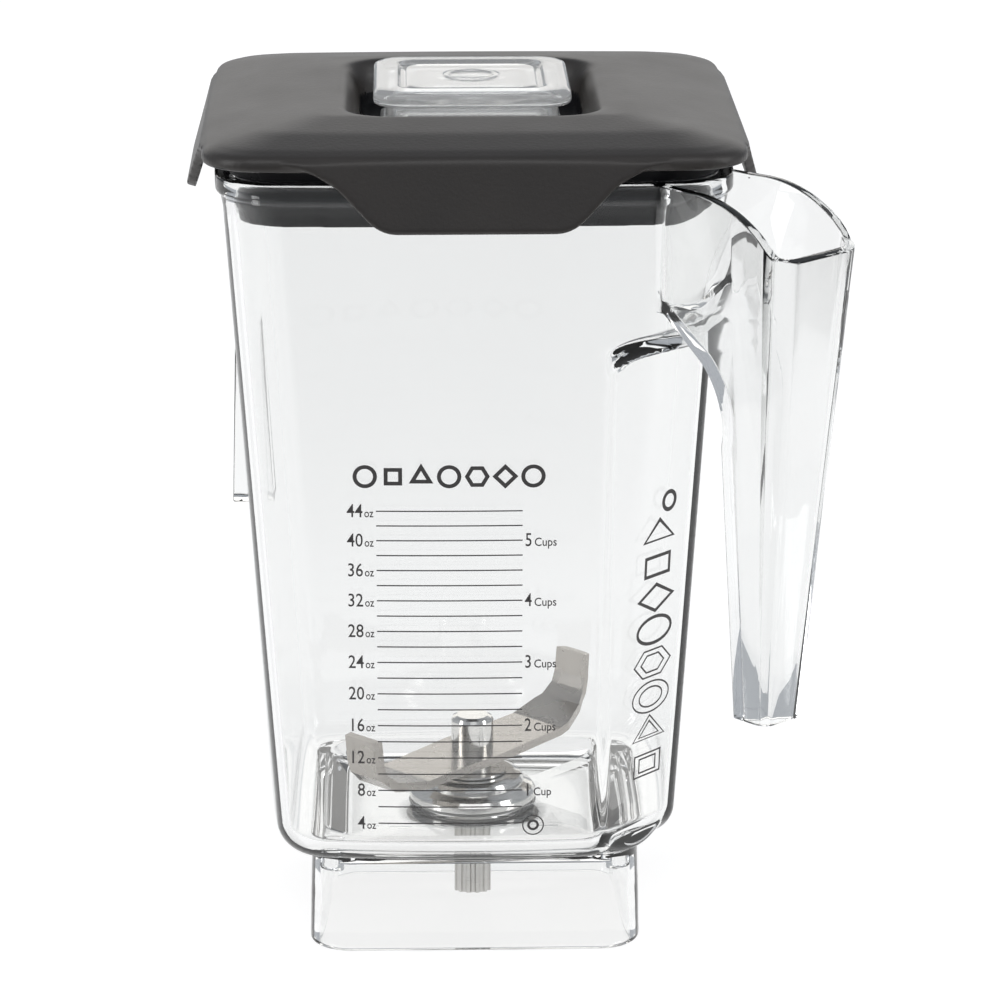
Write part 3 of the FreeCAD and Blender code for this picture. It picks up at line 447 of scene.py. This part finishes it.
def handle_plan(height, inset):
    """The handle from above at a height, drawn in by an inset."""
    share = (height - HANDLE_BOTTOM) / (RIM - HANDLE_BOTTOM)
    half = between(*HANDLE_HALF, share)
    outer = between(*HANDLE_OUTER, share)
    radius = between(*HANDLE_CORNER, share) - inset
    root_half = half - HANDLE_NARROWING * (outer - HANDLE_ROOT) - inset
    points = [out_across(HANDLE_ROOT, -root_half, height)]
    for sign, start in ((-1, -90), (1, 0)):
        middle = (outer - inset - radius, sign * (half - inset - radius))
        for turn in np.radians(np.linspace(start, start + 90, 7)):
            points.append(out_across(middle[0] + radius * math.cos(turn),
                                     middle[1] + radius * math.sin(turn), height))
    points.append(out_across(HANDLE_ROOT, root_half, height))
    return points


def handle_wedge(inset, low, high):
    return stack("wedge", [handle_plan(low, inset), handle_plan(high, inset)])


def handle_side(inset, low, extra):
    """The handle from its side, drawn in by an inset and raised on top by an extra, as a slab across it."""
    inner = HANDLE_INNER + inset
    rim = RIM + extra - BELOW_RIM
    shoulder = HANDLE_SHOULDER + extra
    top_end = (121, rim - 8.5)
    top = arc_through((97, rim), (109, rim - 1.94), top_end, ARC_STEPS)
    brow = [top_end, (123.2, shoulder + 4.6), (125.5, shoulder + 2.0), (HANDLE_END, shoulder - 1)]
    bend_end = (98.2 + inset / 2, 182 + inset)
    bend = arc_through((inner - 1.9, 159.5), (inner - 5, 177.5 + inset / 2), bend_end, ARC_STEPS)
    root_under = HANDLE_HEIGHT_AT_ROOT + inset
    root = [bend_end, (84.4, root_under), (HANDLE_ROOT, root_under)]
    outline = [(HANDLE_ROOT, rim)] + top + brow + [(HANDLE_END, low), (inner, low)] + bend + root
    return prism("side", [out_across(out, -HANDLE_SIDE_HALF, z) for out, z in outline],
                 out_across(0, 2 * HANDLE_SIDE_HALF, 0))


def handle_tube():
    """The handle, hollowed by a channel and cut to the middle of the vessel's wall."""
    outside = boolean(handle_side(0, HANDLE_BOTTOM, 0),
                      handle_wedge(0, HANDLE_BOTTOM, RIM + BEYOND), "INTERSECT")
    below = HANDLE_BOTTOM - BEYOND
    channel = boolean(handle_side(HANDLE_TUBE, below, 4 * BEYOND),
                      handle_wedge(HANDLE_TUBE, below, RIM + 5 * BEYOND), "INTERSECT")
    tube = boolean(outside, channel, "DIFFERENCE")
    heights = [20] + WALL_HEIGHTS + [240]
    inside = ring_solid("inside", [vessel_ring(z, WALL / 2) for z in heights], False)
    return bevel(boolean(tube, inside, "DIFFERENCE"), 0.6, 35)


def lug():
    """The upright rib on the left wall."""
    outline = [(x, -LUG_HALF, z) for x, z in LUG_OUTLINE]
    return bevel(prism("lug", outline, (0, 2 * LUG_HALF, 0)), 0.5, 30)


def pad(x, y):
    """A round pad under the floor."""
    turns = [2 * math.pi * i / PAD_POINTS for i in range(PAD_POINTS)]
    return stack("pad", [[(x + radius * math.cos(turn), y + radius * math.sin(turn), z) for turn in turns]
                         for radius, z in PAD_RINGS])


def make_jar():
    jar = ring_solid("clear_jar", vessel_rings(), True)
    pads = [pad(x, y) for x in (-PAD_PLACE, PAD_PLACE) for y in (-PAD_PLACE, PAD_PLACE)]
    extras = joined("extras", [handle_tube(), lug()] + pads)
    return smooth(boolean(jar, extras, "UNION"), 40)


# ---------------------------------------------------------------- lid


def softened(name, node_name):
    """A fine even mesh of a CAD node's shape, its edges eased, and eased more towards its top."""
    obj = bpy.data.objects.new(name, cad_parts[node_name].data.copy())
    scene.collection.objects.link(obj)
    remesh = obj.modifiers.new("remesh", "REMESH")
    remesh.mode = "VOXEL"
    remesh.voxel_size = LID_VOXEL * MM
    apply_modifiers(obj)
    group = obj.vertex_groups.new(name="ease")
    for vertex in obj.data.vertices:
        share = (vertex.co.z / MM - EASE_FROM) / (EASE_FULLY - EASE_FROM)
        group.add([vertex.index], min(1.0, max(0.0, share)), "REPLACE")
    for passes, group_name in ((EASE_EVERYWHERE, ""), (EASE_ABOVE, "ease")):
        ease = obj.modifiers.new("ease", "SMOOTH")
        ease.factor = 0.5
        ease.iterations = passes
        ease.vertex_group = group_name
    apply_modifiers(obj)
    obj.vertex_groups.clear()
    return smooth(obj, 180)


def make_lid(outside, painted_shade_plug):
    """The soft lid, whose sealing plug gets a darker, less reflective copy of the vinyl: painted shade for the
    plug inside the rim.
    """
    obj = finish(softened("soft_lid", "lid"), "lid", "lid_vinyl", outside, "lid")
    obj.data.materials.append(painted_shade_plug)
    # the plug's faces take the darker copy of the vinyl, as painted shade
    for face in obj.data.polygons:
        x, y, z = face.center / MM
        if max(abs(x), abs(y)) < PLUG_REACH and z < PLUG_TOP:
            face.material_index = 1
    return obj


# ---------------------------------------------------------------- printed marks


def front_wall(x, z, depth):
    """A point on the jar's front face, a little proud of it."""
    share = (z - UNDER) / (RIM - UNDER)
    half = between(BOTTOM_HALF, TOP_HALF, share)
    corner = between(BOTTOM_CORNER, TOP_CORNER, share)
    bow = between(BOTTOM_BOW, TOP_BOW, share)
    radius = ((half - corner) ** 2 + bow ** 2) / (2 * bow)
    return (x, radius - half - math.sqrt(radius ** 2 - x ** 2) - depth, z)


def fifth_wall(sideways, z, depth):
    """A point on the fifth side, a little proud of it."""
    out = PANEL_DISTANCE + PANEL_SLOPE * (z - UNDER) + depth
    x, y = AWAY * out + ALONG * (PANEL_CENTRE + sideways)
    return (x, y, z)


class Marks:
    """Thin printed marks that follow a wall."""

    def __init__(self, wall):
        self.wall = wall
        self.verts = []
        self.faces = []

    def line(self, points, width, closed=False):
        """A stroke of constant width along points."""
        points = [np.array(p, float) for p in points]
        count = len(points)
        base = len(self.verts)
        for i, point in enumerate(points):
            before = points[i - 1] if closed or i else point
            after = points[(i + 1) % count] if closed or i < count - 1 else point
            arrive = point - before if np.any(point != before) else after - point
            leave = after - point if np.any(after != point) else point - before
            normal = np.array([-arrive[1], arrive[0]]) / np.linalg.norm(arrive)
            other = np.array([-leave[1], leave[0]]) / np.linalg.norm(leave)
            mitre = normal + other
            mitre = mitre / max(0.5, mitre @ normal) * width / 2
            for side in (mitre, -mitre):
                for depth in PRINT_DEPTH:
                    self.verts.append(self.wall(*(point + side), depth))
        spans = count if closed else count - 1
        for i in range(spans):
            a, b = base + 4 * i, base + 4 * ((i + 1) % count)
            self.faces += [(a + p, b + p, b + q, a + q) for p, q in ((0, 1), (1, 3), (3, 2), (2, 0))]
        if not closed:
            a, b = base, base + 4 * (count - 1)
            self.faces += [(a, a + 1, a + 3, a + 2), (b, b + 2, b + 3, b + 1)]

    def text(self, words, size, x, z, squeeze, align):
        """Words in the plain built-in face, narrowed by a factor."""
        curve = bpy.data.curves.new("label", "FONT")
        curve.body = words
        curve.size = size
        curve.align_x = align
        curve.resolution_u = LETTER_STEPS
        curve.offset = LETTER_WEIGHT
        curve.extrude = (PRINT_DEPTH[1] - PRINT_DEPTH[0]) / 2
        holder = bpy.data.objects.new("label", curve)
        mesh = bpy.data.meshes.new_from_object(holder)
        base = len(self.verts)
        middle = sum(PRINT_DEPTH) / 2
        self.verts += [self.wall(x + v.co.x * squeeze, z + v.co.y, middle + v.co.z) for v in mesh.vertices]
        self.faces += [tuple(base + i for i in face.vertices) for face in mesh.polygons]
        bpy.data.objects.remove(holder)
        bpy.data.curves.remove(curve)
        bpy.data.meshes.remove(mesh)

    def figure(self, x, z, radius, kind, width, stretch=1.0):
        """The outline of a plain figure, widened by a factor."""
        sides, turn = kind
        angles = [math.radians(turn) + 2 * math.pi * i / sides for i in range(sides)]
        self.line([(x + stretch * radius * math.cos(a), z + radius * math.sin(a)) for a in angles], width, True)

    def made(self, name):
        return new_object(name, self.verts, self.faces)


def line_height(index):
    """The height of a graduation; the lines draw together upwards as the jar widens."""
    return FIRST_LINE + LINE_PITCH * index - PITCH_LOST * index ** 2


def graduations():
    """A line for every two ounces, with every second line numbered, and the cups."""
    marks = Marks(front_wall)
    for index in range(LINE_COUNT):
        marks.line([(x, line_height(index)) for x in np.linspace(*LINE_ENDS, LINE_POINTS)], LINE_STROKE)
    for index in range(0, LINE_COUNT, 2):
        z = line_height(index) - LETTERS_BELOW_LINE
        marks.text(str(4 + 2 * index), FIGURES, OUNCES_LEFT, z, 0.82, "RIGHT")
        marks.text("oz", UNITS, OUNCES_RIGHT, z, 0.76, "LEFT")
    for cup in range(1, 6):
        z = line_height(4 * cup - 2) - LETTERS_BELOW_LINE
        marks.text(str(cup), FIGURES, CUPS_LEFT, z, 0.76, "LEFT")
        marks.text("Cup" if cup == 1 else "Cups", UNITS, CUPS_RIGHT, z, 0.86, "LEFT")
    return marks.made("graduations")


def front_figures():
    """A row of plain figures above the graduations, and a plain ring below them."""
    marks = Marks(front_wall)
    for index, kind in enumerate((RING, SQUARE, TRIANGLE, RING, HEXAGON, DIAMOND, RING)):
        marks.figure(ROW_LEFT + ROW_PITCH * index, ROW_HEIGHT, ROW_RADIUS, kind, ROW_STROKE)
    marks.figure(*SPOT, 2.9, FINE_RING, 0.35)
    marks.figure(*SPOT, 1.3, FINE_RING, 0.7)
    return marks.made("front_figures")


def side_figures():
    """A column of plain figures up the fifth side, the lower ones in outline."""
    marks = Marks(fifth_wall)
    for index, kind in enumerate((SQUARE, TRIANGLE, RING, HEXAGON)):
        z = OUTLINED_FIRST + OUTLINED_PITCH * index
        for radius in OUTLINED_RADII:
            marks.figure(COLUMN_MIDDLE, z, radius, kind, OUTLINED_STROKE, OUTLINED_STRETCH)
    for index, kind in enumerate((RING, DIAMOND, SQUARE, TRIANGLE)):
        z = BOLD_FIRST + BOLD_PITCH * index
        marks.figure(COLUMN_MIDDLE, z, BOLD_RADIUS, kind, BOLD_STROKE, BOLD_STRETCH)
    marks.figure(*LAST_RING, 2.6, RING, 1.2)
    return marks.made("side_figures")


# ---------------------------------------------------------------- materials


def shader_of(mat):
    return mat.node_tree.nodes["Principled BSDF"]


def material(name, color, roughness, metallic=0.0, noise_scale=40.0, color_spread=0.1, rough_spread=0.08,
             bump=0.0, bump_scale=400.0, stretch=(1, 1, 1)):
    """A principled material whose colour, roughness and bump vary with noise over the object."""
    mat = bpy.data.materials.new(name)
    mat.use_nodes = True
    nodes, links = mat.node_tree.nodes, mat.node_tree.links
    shader = shader_of(mat)
    shader.inputs["Metallic"].default_value = metallic
    coords = nodes.new("ShaderNodeTexCoord")
    mapping = nodes.new("ShaderNodeMapping")
    mapping.inputs["Scale"].default_value = stretch
    links.new(coords.outputs["Object"], mapping.inputs["Vector"])
    noise = nodes.new("ShaderNodeTexNoise")
    noise.inputs["Scale"].default_value = noise_scale
    noise.inputs["Detail"].default_value = 5
    links.new(mapping.outputs["Vector"], noise.inputs["Vector"])
    ramp = nodes.new("ShaderNodeValToRGB")
    for element, factor in zip(ramp.color_ramp.elements, (1 - color_spread, 1 + color_spread)):
        element.color = [min(1.0, c * factor) for c in color] + [1.0]
    ramp.color_ramp.elements[0].position = 0.3
    ramp.color_ramp.elements[1].position = 0.7
    links.new(noise.outputs["Fac"], ramp.inputs["Fac"])
    links.new(ramp.outputs["Color"], shader.inputs["Base Color"])
    spread_map = nodes.new("ShaderNodeMapRange")
    spread_map.inputs["To Min"].default_value = max(0.0, roughness - rough_spread)
    spread_map.inputs["To Max"].default_value = min(1.0, roughness + rough_spread)
    links.new(noise.outputs["Fac"], spread_map.inputs["Value"])
    links.new(spread_map.outputs["Result"], shader.inputs["Roughness"])
    if bump:
        grain = nodes.new("ShaderNodeTexNoise")
        grain.inputs["Scale"].default_value = bump_scale
        grain.inputs["Detail"].default_value = 4
        links.new(mapping.outputs["Vector"], grain.inputs["Vector"])
        relief = nodes.new("ShaderNodeBump")
        relief.inputs["Strength"].default_value = bump
        relief.inputs["Distance"].default_value = 0.0004
        links.new(grain.outputs["Fac"], relief.inputs["Height"])
        links.new(relief.outputs["Normal"], shader.inputs["Normal"])
    return mat


def clear(name, color, roughness, ripple, transmission):
    """A clear plastic with a faint ripple."""
    mat = material(name, color, roughness, noise_scale=9, color_spread=0.01, rough_spread=roughness * 0.7,
                   bump=ripple, bump_scale=14)
    shader_of(mat).inputs["Transmission Weight"].default_value = transmission
    shader_of(mat).inputs["IOR"].default_value = 1.5
    return mat


glass = clear("clear_copolyester", (0.925, 0.928, 0.925), 0.012, ripple=0.05, transmission=1.0)
cap_glass = clear("cloudy_copolyester", (0.92, 0.93, 0.93), 0.11, ripple=0.12, transmission=0.8)
vinyl = material("soft_vinyl", (0.0175, 0.0142, 0.0122), 0.42, noise_scale=60, color_spread=0.12,
                 rough_spread=0.05, bump=0.15, bump_scale=900)
# painted shade: the lid's vinyl made darker and less reflective for the plug, standing in for the shade it sits
# in under the crown inside the rim
plug_painted_shade = material("plug_painted_shade", (0.006, 0.006, 0.007), 0.28, noise_scale=60, color_spread=0.12,
                      rough_spread=0.05, bump=0.05, bump_scale=900)
shader_of(plug_painted_shade).inputs["Specular IOR Level"].default_value = 0.1
ink = material("print_ink", (0.035, 0.032, 0.032), 0.5, noise_scale=500, color_spread=0.15)
polished = material("polished_steel", (0.72, 0.71, 0.69), 0.12, metallic=1.0, noise_scale=120,
                    color_spread=0.04, rough_spread=0.04, bump=0.02, bump_scale=900)
brushed = material("blade_steel", (0.42, 0.395, 0.365), 0.27, metallic=1.0, noise_scale=90,
                   color_spread=0.03, rough_spread=0.05, bump=0.03, bump_scale=1500)
machined = material("machined_steel", (0.55, 0.54, 0.52), 0.3, metallic=1.0, noise_scale=200,
                    color_spread=0.05, bump=0.05, bump_scale=1200, stretch=(1, 1, 8))
silicone = material("pale_silicone", (0.62, 0.63, 0.62), 0.5, noise_scale=220, color_spread=0.04, bump=0.06)
rubber = material("seal_rubber", (0.02, 0.02, 0.022), 0.55, noise_scale=260, color_spread=0.2, bump=0.15)
nylon = material("cage_nylon", (0.68, 0.64, 0.52), 0.45, noise_scale=260, color_spread=0.06, bump=0.08)
bearing = material("bearing_steel", (0.60, 0.60, 0.61), 0.16, metallic=1.0, noise_scale=300, color_spread=0.03)

NODE_MATERIALS = {
    polished: ("dome_cover", "slinger", "shaft_cap"),
    machined: ("bearing_housing", "drive_shaft", "blade_collar", "outer_spacer", "inner_spacer",
               "retaining_ring", "seal_case"),
    bearing: ("lower_outer_race", "upper_outer_race", "lower_inner_race", "upper_inner_race", "lower_balls",
              "upper_balls", "bearing_shields"),
    brushed: ("blade",),
    silicone: ("housing_gasket",),
    rubber: ("seal_lip",),
    nylon: ("lower_cage", "upper_cage"),
    vinyl: ("lid",),
    cap_glass: ("center_cap",),
    glass: ("jar_vessel",),
}
for look, names in NODE_MATERIALS.items():
    for node_name in names:
        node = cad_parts[node_name]
        if not node.material_slots:
            node.data.materials.append(look)
        for material_slot in node.material_slots:
            material_slot.material = look

# ---------------------------------------------------------------- pieces

jar = finish(make_jar(), "jar", "clear_plastic", glass, "jar_vessel")
cap = smooth(ring_solid("clear_cap", cap_rings(), False), 60)
finish(cap, "center_cap", "clear_plastic", cap_glass, "center_cap")
make_lid(vinyl, plug_painted_shade)
for marks in (graduations(), front_figures(), side_figures()):
    finish(marks, "jar", "lid_vinyl", ink)

# clear plastic casts hardly any shadow
for see_through in (jar, cap):
    see_through.visible_shadow = False

# ---------------------------------------------------------------- studio, in metres

FLOOR_SIZE = 12.0
FLOOR_DEPTH_MM = -0.05
# the floor glows more from this far in front of the object to just in front of it
GLOW_FROM, GLOW_TO = -0.7, -0.12
GLOW_FRONT, GLOW_BACK = 0.16, 0.84


def floor_material():
    """A white floor that glows, less so in front."""
    mat = material("floor_white", (0.25, 0.25, 0.25), 0.8, noise_scale=3, color_spread=0.01)
    nodes, links = mat.node_tree.nodes, mat.node_tree.links
    shader_of(mat).inputs["Emission Color"].default_value = (1, 1, 1, 1)
    place = nodes.new("ShaderNodeTexCoord")
    axes = nodes.new("ShaderNodeSeparateXYZ")
    fade = nodes.new("ShaderNodeMapRange")
    fade.interpolation_type = "SMOOTHSTEP"
    fade.inputs["From Min"].default_value = GLOW_FROM
    fade.inputs["From Max"].default_value = GLOW_TO
    fade.inputs["To Min"].default_value = GLOW_FRONT
    fade.inputs["To Max"].default_value = GLOW_BACK
    links.new(place.outputs["Object"], axes.inputs["Vector"])
    links.new(axes.outputs["Y"], fade.inputs["Value"])
    links.new(fade.outputs["Result"], shader_of(mat).inputs["Emission Strength"])
    return mat


floor_half = FLOOR_SIZE / MM / 2
floor = new_object("studio_floor", [(x * floor_half, y * floor_half, FLOOR_DEPTH_MM)
                                    for x, y in ((-1, -1), (1, -1), (1, 1), (-1, 1))], [(0, 1, 2, 3)])
floor.data.materials.append(floor_material())


def turned_to(location, target):
    """The rotation that points a light or camera at a target."""
    return (Vector(target) - Vector(location)).to_track_quat("-Z", "Y").to_euler()


def area_light(name, location, target, size, power, color=(1, 1, 1)):
    data = bpy.data.lights.new(name, "AREA")
    data.shape = "RECTANGLE"
    data.size, data.size_y = size
    data.energy = power
    data.color = color
    obj = bpy.data.objects.new(name, data)
    obj.location = location
    obj.rotation_euler = turned_to(location, target)
    scene.collection.objects.link(obj)


area_light("top_softbox", (0.0, -0.9, 1.8), (0, 0, 0.1), (1.8, 0.8), power=8)
area_light("left_softbox", (-1.3, -0.5, 0.8), (0, 0, 0.1), (0.4, 1.2), power=7)
area_light("right_softbox", (1.3, -0.4, 0.9), (0, 0, 0.1), (0.4, 1.2), power=6)
area_light("front_fill", (0.2, -1.9, 1.3), (0, 0, 0.1), (1.2, 0.8), power=2)
area_light("back_softbox", (0.0, 3.2, 1.15), (0, 0, 0.25), (4.4, 1.2), power=18, color=(1.0, 0.96, 0.90))

world = bpy.data.worlds.new("studio")
world.use_nodes = True
background = world.node_tree.nodes["Background"]
background.inputs["Color"].default_value = (0.88, 0.93, 1.0, 1)
background.inputs["Strength"].default_value = 0.46
scene.world = world
scene.view_settings.view_transform = "Standard"
scene.cycles.max_bounces = 24
scene.cycles.transmission_bounces = 24
scene.cycles.caustics_refractive = False
scene.cycles.caustics_reflective = False

# ---------------------------------------------------------------- camera, in metres

CAMERA_PLACE = (-0.0230, -1.2492, 0.4892)
CAMERA_TARGET = (0.008156, 0.0, 0.12077)

camera_data = bpy.data.cameras.new("camera")
camera_data.sensor_width = 36.0
camera_data.lens = 162.06
camera_data.clip_end = 50
camera = bpy.data.objects.new("camera", camera_data)
camera.location = CAMERA_PLACE
camera.rotation_euler = turned_to(CAMERA_PLACE, CAMERA_TARGET)
scene.collection.objects.link(camera)
scene.camera = camera
